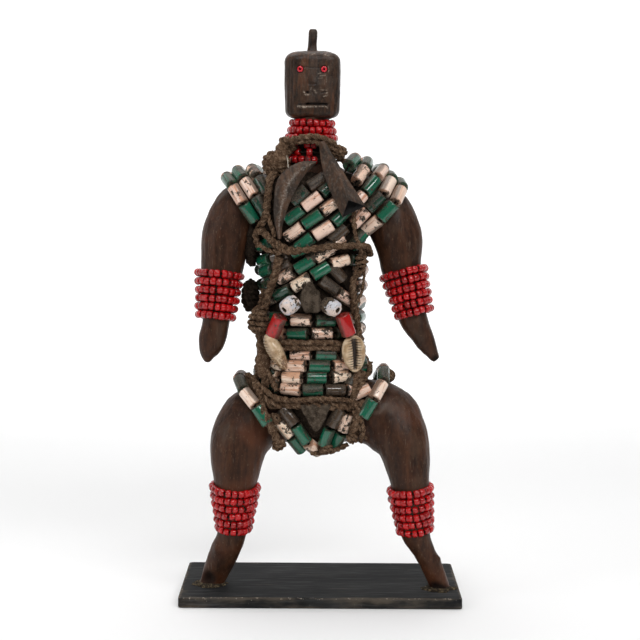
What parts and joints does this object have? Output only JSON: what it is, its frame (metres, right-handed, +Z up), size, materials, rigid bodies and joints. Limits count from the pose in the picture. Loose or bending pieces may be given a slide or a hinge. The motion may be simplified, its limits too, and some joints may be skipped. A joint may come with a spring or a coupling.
{
  "type": "beaded doll",
  "caption": "Carved wooden doll with a square head, bound in strands of tube beads, cords, small bells and shells, standing on a thin board.",
  "frame": {"origin": "centre of the underside of the board", "axes": "+Z up, -Y the way the doll faces, +X the doll's left (the right side of a front view)"},
  "size_m": [0.164, 0.08, 0.3327],
  "materials": {
    "wood": "worn, oiled and handled, dark brown",
    "board_paint": "satin black paint, scuffed",
    "red_glass": "glossy, worn",
    "green_glass": "glossy, worn, opaque",
    "pink_glass": "scratched and dirty, opaque",
    "fibre_cord": "matt, encrusted twisted fibre",
    "iron": "rusty, rubbed bright on the ridge",
    "shell": "worn shell",
    "white_glass": "chipped, opaque",
    "hide": "matt, stiff and grimy"
  },
  "bodies": {
    "root": {"back_crotch_strand": "green_glass", "back_row_1": "pink_glass", "back_row_2": "green_glass", "back_row_3": "pink_glass", "base_board": "board_paint", "chest_amulet": "hide", "chest_cord": "fibre_cord", "chest_strand_1": "green_glass", "chest_strand_2": "pink_glass", "chest_strand_3": "green_glass", "cowrie_left": "shell", "cowrie_right": "shell", "crotch_strand_1": "green_glass", "crotch_strand_2": "pink_glass", "crotch_strand_3": "green_glass", "crotch_strand_4": "pink_glass", "eye_bead_left": "red_glass", "eye_bead_right": "red_glass", "folded_iron_bell": "iron", "groin_hide": "hide", "hip_belt": "fibre_cord", "iron_crescent": "iron", "left_arm_beads": "red_glass", "left_groin_rope": "fibre_cord", "left_hip_strand": "green_glass", "left_leg_beads": "red_glass", "left_neck_cord": "fibre_cord", "left_shoulder_strand_1": "pink_glass", "left_shoulder_strand_2": "green_glass", "left_shoulder_strand_3": "pink_glass", "left_side_cord": "fibre_cord", "neck_beads": "red_glass", "neck_knot": "fibre_cord", "red_tube_left": "red_glass", "red_tube_right": "red_glass", "right_arm_beads": "red_glass", "right_groin_rope": "fibre_cord", "right_hip_strand": "pink_glass", "right_leg_beads": "red_glass", "right_shoulder_strand_1": "green_glass", "right_shoulder_strand_2": "pink_glass", "right_shoulder_strand_3": "green_glass", "right_shoulder_strand_4": "pink_glass", "right_shoulder_strand_5": "green_glass", "right_side_cord": "fibre_cord", "side_bundle": "hide", "waist_cord": "fibre_cord", "waist_cross_strand_1": "pink_glass", "waist_cross_strand_2": "green_glass", "waist_cross_strand_3": "pink_glass", "waist_cross_strand_4": "green_glass", "waist_row_1": "pink_glass", "waist_row_2": "green_glass", "waist_row_3": "pink_glass", "waist_row_4": "green_glass", "waist_row_5": "pink_glass", "waist_row_front": "pink_glass", "white_bead_left": "white_glass", "white_bead_right": "white_glass", "wooden_figure": "wood"}
  },
  "joints": []
}
